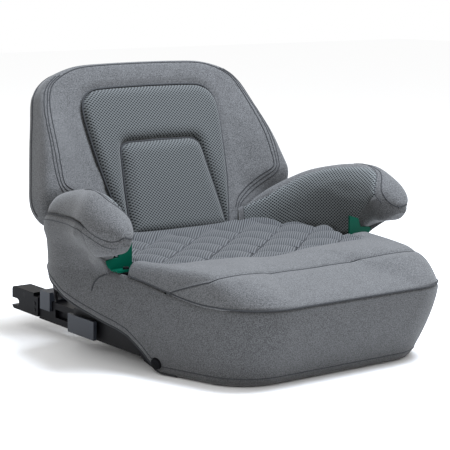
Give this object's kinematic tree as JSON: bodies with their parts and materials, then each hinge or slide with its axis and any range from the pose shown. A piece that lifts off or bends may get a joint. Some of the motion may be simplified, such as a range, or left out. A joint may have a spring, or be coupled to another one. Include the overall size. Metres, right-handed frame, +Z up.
{
  "type": "booster seat",
  "caption": "Low-back child booster seat with fabric padding, a quilted seat, armrests over green belt guides, a tilting winged backrest and sliding lower-anchor connectors.",
  "frame": {"origin": "on the floor under the middle of the footprint, on the underside of the non-slip mat", "axes": "+Z up, the seat faces -Y, connectors point to +Y, +X to the left hand of a child sitting in it"},
  "size_m": [0.4596, 0.4721, 0.3226],
  "materials": {
    "melange_fabric": "heathered weave",
    "mesh_fabric": "spacer mesh",
    "foam": "foam",
    "core_plastic": "matte",
    "dark_plastic": "matte",
    "black_plastic": "satin",
    "grey_plastic": "satin",
    "green_plastic": "glossy",
    "mat_rubber": "matte",
    "steel": "brushed"
  },
  "bodies": {
    "base": {"base_shell": "dark_plastic", "bottom_tray": "dark_plastic", "non_slip_mat": "mat_rubber", "tray_screws": "steel", "skirt_cover": "melange_fabric", "front_bolster": "melange_fabric", "seat_surround": "melange_fabric", "seat_foam": "foam", "seat_quilt": "mesh_fabric", "armrest_core_left": "core_plastic", "armrest_core_right": "core_plastic", "armrest_cover_left": "melange_fabric", "armrest_cover_right": "melange_fabric", "core_screws": "steel", "belt_guide_left": "green_plastic", "belt_guide_right": "green_plastic", "guide_screws": "steel", "cover_buttons": "black_plastic", "rail_left": "dark_plastic", "rail_right": "dark_plastic", "rail_screws": "steel", "hinge_brackets": "dark_plastic", "bracket_screws": "steel", "hinge_rod": "steel", "rod_clips": "steel", "button_springs_left": "steel", "button_springs_right": "steel"},
    "backrest": {"back_shell": "dark_plastic", "back_pad": "melange_fabric", "back_mesh_surround": "mesh_fabric", "back_mesh_centre": "mesh_fabric", "back_screws": "steel"},
    "arm_left": {"arm_beam_left": "steel", "arm_housing_left": "black_plastic", "connector_head_left": "black_plastic", "hook_pin_left": "steel", "head_rivets_left": "steel", "hook_spring_left": "steel"},
    "collar_left": {"release_collar_left": "grey_plastic", "pull_rod_left": "steel"},
    "hook_left": {"hook_left": "steel"},
    "button_left": {"rail_button_left": "grey_plastic"},
    "arm_right": {"arm_beam_right": "steel", "arm_housing_right": "black_plastic", "connector_head_right": "black_plastic", "hook_pin_right": "steel", "head_rivets_right": "steel", "hook_spring_right": "steel"},
    "collar_right": {"release_collar_right": "grey_plastic", "pull_rod_right": "steel"},
    "hook_right": {"hook_right": "steel"},
    "button_right": {"rail_button_right": "grey_plastic"}
  },
  "joints": [
    {"name": "backrest_tilt", "type": "hinge", "parent": "base", "child": "backrest", "pos_m": [0, 0.09995, 0.09557], "axis": [-1, 0, 0], "range_deg": [0, 15]},
    {"name": "arm_slide_left", "type": "slide", "parent": "base", "child": "arm_left", "axis": [0, 0.9997, 0.0262], "range_m": [-0.048, 0]},
    {"name": "collar_slide_left", "type": "slide", "parent": "arm_left", "child": "collar_left", "axis": [0, 0.9997, 0.0262], "range_m": [0, 0.006], "stiffness_N_per_m": 300, "springref_m": -0.003},
    {"name": "hook_turn_left", "type": "hinge", "parent": "arm_left", "child": "hook_left", "pos_m": [-0.14, 0.20769, 0.04133], "axis": [-1, 0, 0], "range_deg": [0, 20], "deforming": ["hook_spring_left"]},
    {"name": "button_press_left", "type": "slide", "parent": "base", "child": "button_left", "axis": [1, 0, 0], "range_m": [0, 0.003], "stiffness_N_per_m": 500, "springref_m": -0.002, "deforming": ["button_springs_left"]},
    {"name": "arm_slide_right", "type": "slide", "parent": "base", "child": "arm_right", "axis": [0, 0.9997, 0.0262], "range_m": [-0.048, 0]},
    {"name": "collar_slide_right", "type": "slide", "parent": "arm_right", "child": "collar_right", "axis": [0, 0.9997, 0.0262], "range_m": [0, 0.006], "stiffness_N_per_m": 300, "springref_m": -0.003},
    {"name": "hook_turn_right", "type": "hinge", "parent": "arm_right", "child": "hook_right", "pos_m": [0.14, 0.20769, 0.04133], "axis": [-1, 0, 0], "range_deg": [0, 20], "deforming": ["hook_spring_right"]},
    {"name": "button_press_right", "type": "slide", "parent": "base", "child": "button_right", "axis": [-1, 0, 0], "range_m": [0, 0.003], "stiffness_N_per_m": 500, "springref_m": -0.002, "deforming": ["button_springs_right"]}
  ],
  "couplings": [
    {"joint": "hook_turn_left", "follows": "collar_slide_left", "rad_per_m": 58.172},
    {"joint": "hook_turn_right", "follows": "collar_slide_right", "rad_per_m": 58.172}
  ]
}
